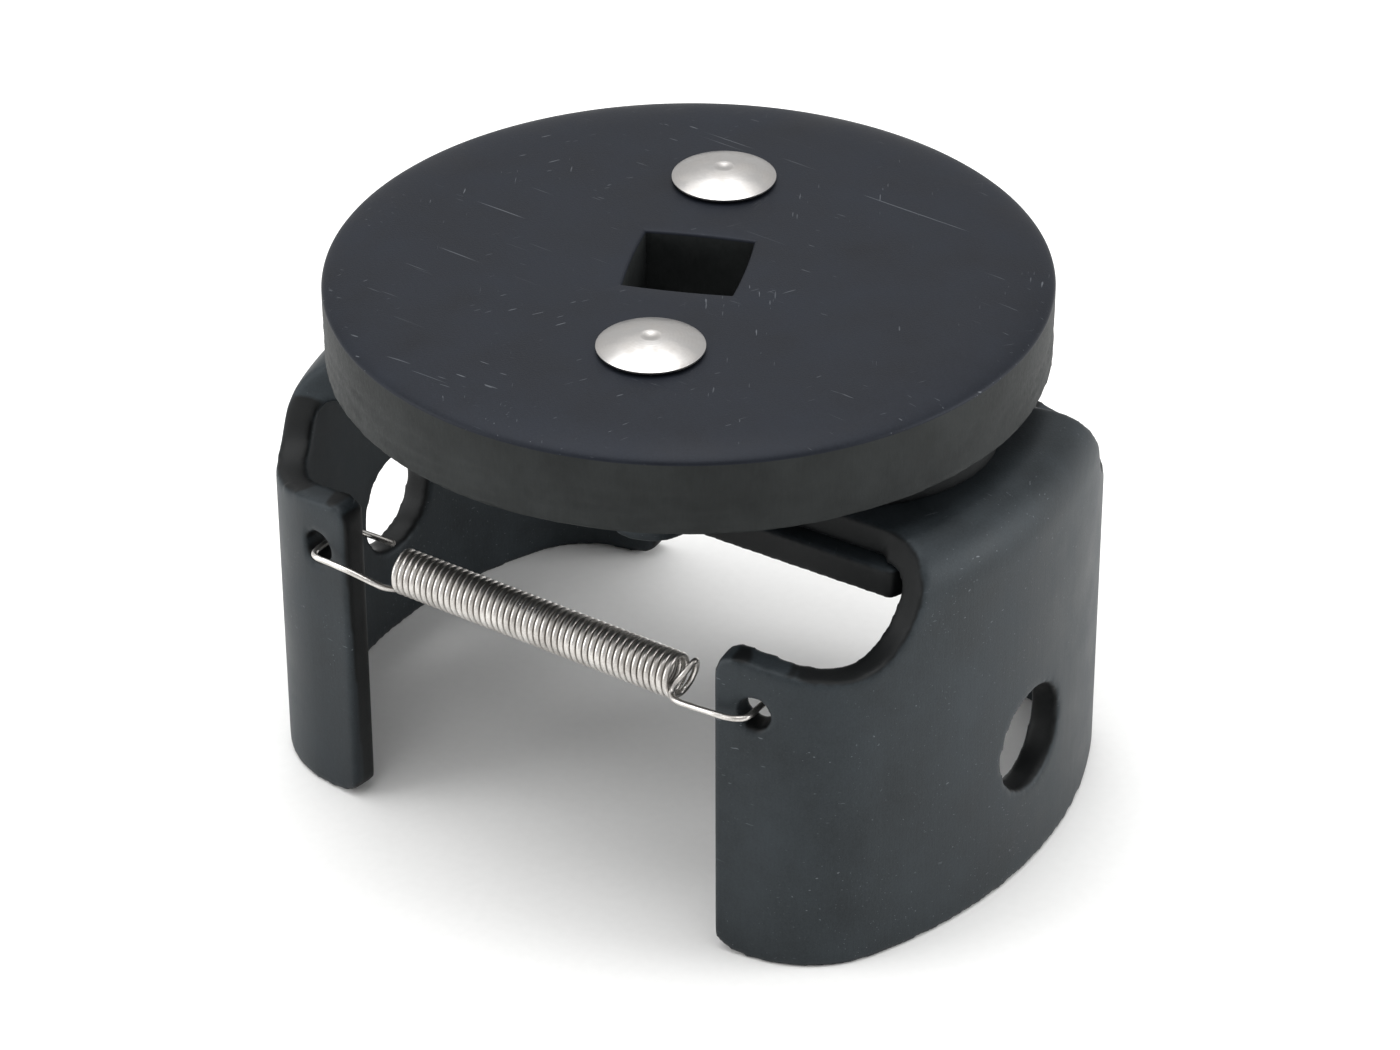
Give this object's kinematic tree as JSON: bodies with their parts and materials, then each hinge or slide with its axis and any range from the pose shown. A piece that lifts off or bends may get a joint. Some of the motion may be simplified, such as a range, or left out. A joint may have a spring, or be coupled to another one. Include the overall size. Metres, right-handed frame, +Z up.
{
  "type": "oil filter wrench",
  "caption": "Two-jaw oil filter wrench: a round drive plate with a square drive hole and riveted, spring-loaded swinging jaws.",
  "frame": {"origin": "on the axis of the square drive hole, at the plane the jaws' feet stand on", "axes": "+Z up along the drive axis, out of the square drive hole; +Y towards the rear rivet; +X towards the right jaw's wall"},
  "size_m": [0.0968, 0.0884, 0.0679],
  "materials": {
    "disc_steel": "blue-black oxide on rolled steel, satin",
    "spacer_steel": "black oxide, satin",
    "rivet_steel": "bright turned steel",
    "jaw_steel": "black oxide, satin, lightly oiled",
    "spring_steel": "drawn spring wire, grey"
  },
  "bodies": {
    "drive_head": {"drive_disc": "disc_steel", "spacer_plate": "spacer_steel", "rear_rivet": "rivet_steel", "front_rivet": "rivet_steel"},
    "right_jaw_body": {"right_jaw": "jaw_steel"},
    "left_jaw_body": {"left_jaw": "jaw_steel"},
    "front_spring": {"front_spring_coil": "spring_steel", "front_spring_near_hook": "spring_steel"},
    "front_spring_end": {"front_spring_far_hook": "spring_steel"},
    "rear_spring": {"rear_spring_coil": "spring_steel", "rear_spring_near_hook": "spring_steel"},
    "rear_spring_end": {"rear_spring_far_hook": "spring_steel"}
  },
  "joints": [
    {"name": "right_jaw_swing", "type": "hinge", "parent": "drive_head", "child": "right_jaw_body", "pos_m": [0, 0.0204, 0.05], "axis": [0, 0, 1], "range_deg": [0, 24], "stiffness_Nm_per_rad": 0.92, "springref_deg": -4.98},
    {"name": "left_jaw_swing", "type": "hinge", "parent": "drive_head", "child": "left_jaw_body", "pos_m": [0, -0.0204, 0.05], "axis": [0, 0, 1], "range_deg": [0, 24], "stiffness_Nm_per_rad": 0.92, "springref_deg": -4.98},
    {"name": "front_spring_turn", "type": "hinge", "parent": "left_jaw_body", "child": "front_spring", "pos_m": [-0.03957, -0.0175, 0.0338], "axis": [0, 0, 1], "range_deg": [0, 3]},
    {"name": "front_spring_stretch", "type": "slide", "parent": "front_spring", "child": "front_spring_end", "axis": [0.9218, -0.3877, 0], "range_m": [0, 0.017], "deforming": ["front_spring_coil"]},
    {"name": "rear_spring_turn", "type": "hinge", "parent": "right_jaw_body", "child": "rear_spring", "pos_m": [0.03957, 0.0175, 0.0338], "axis": [0, 0, 1], "range_deg": [0, 3]},
    {"name": "rear_spring_stretch", "type": "slide", "parent": "rear_spring", "child": "rear_spring_end", "axis": [-0.9218, 0.3877, 0], "range_m": [0, 0.017], "deforming": ["rear_spring_coil"]}
  ],
  "couplings": [
    {"joint": "left_jaw_swing", "follows": "right_jaw_swing", "ratio": 1},
    {"joint": "front_spring_turn", "follows": "right_jaw_swing", "ratio": 0.12},
    {"joint": "front_spring_stretch", "follows": "right_jaw_swing", "m_per_rad": 0.03994},
    {"joint": "rear_spring_turn", "follows": "right_jaw_swing", "ratio": 0.12},
    {"joint": "rear_spring_stretch", "follows": "right_jaw_swing", "m_per_rad": 0.03994}
  ]
}
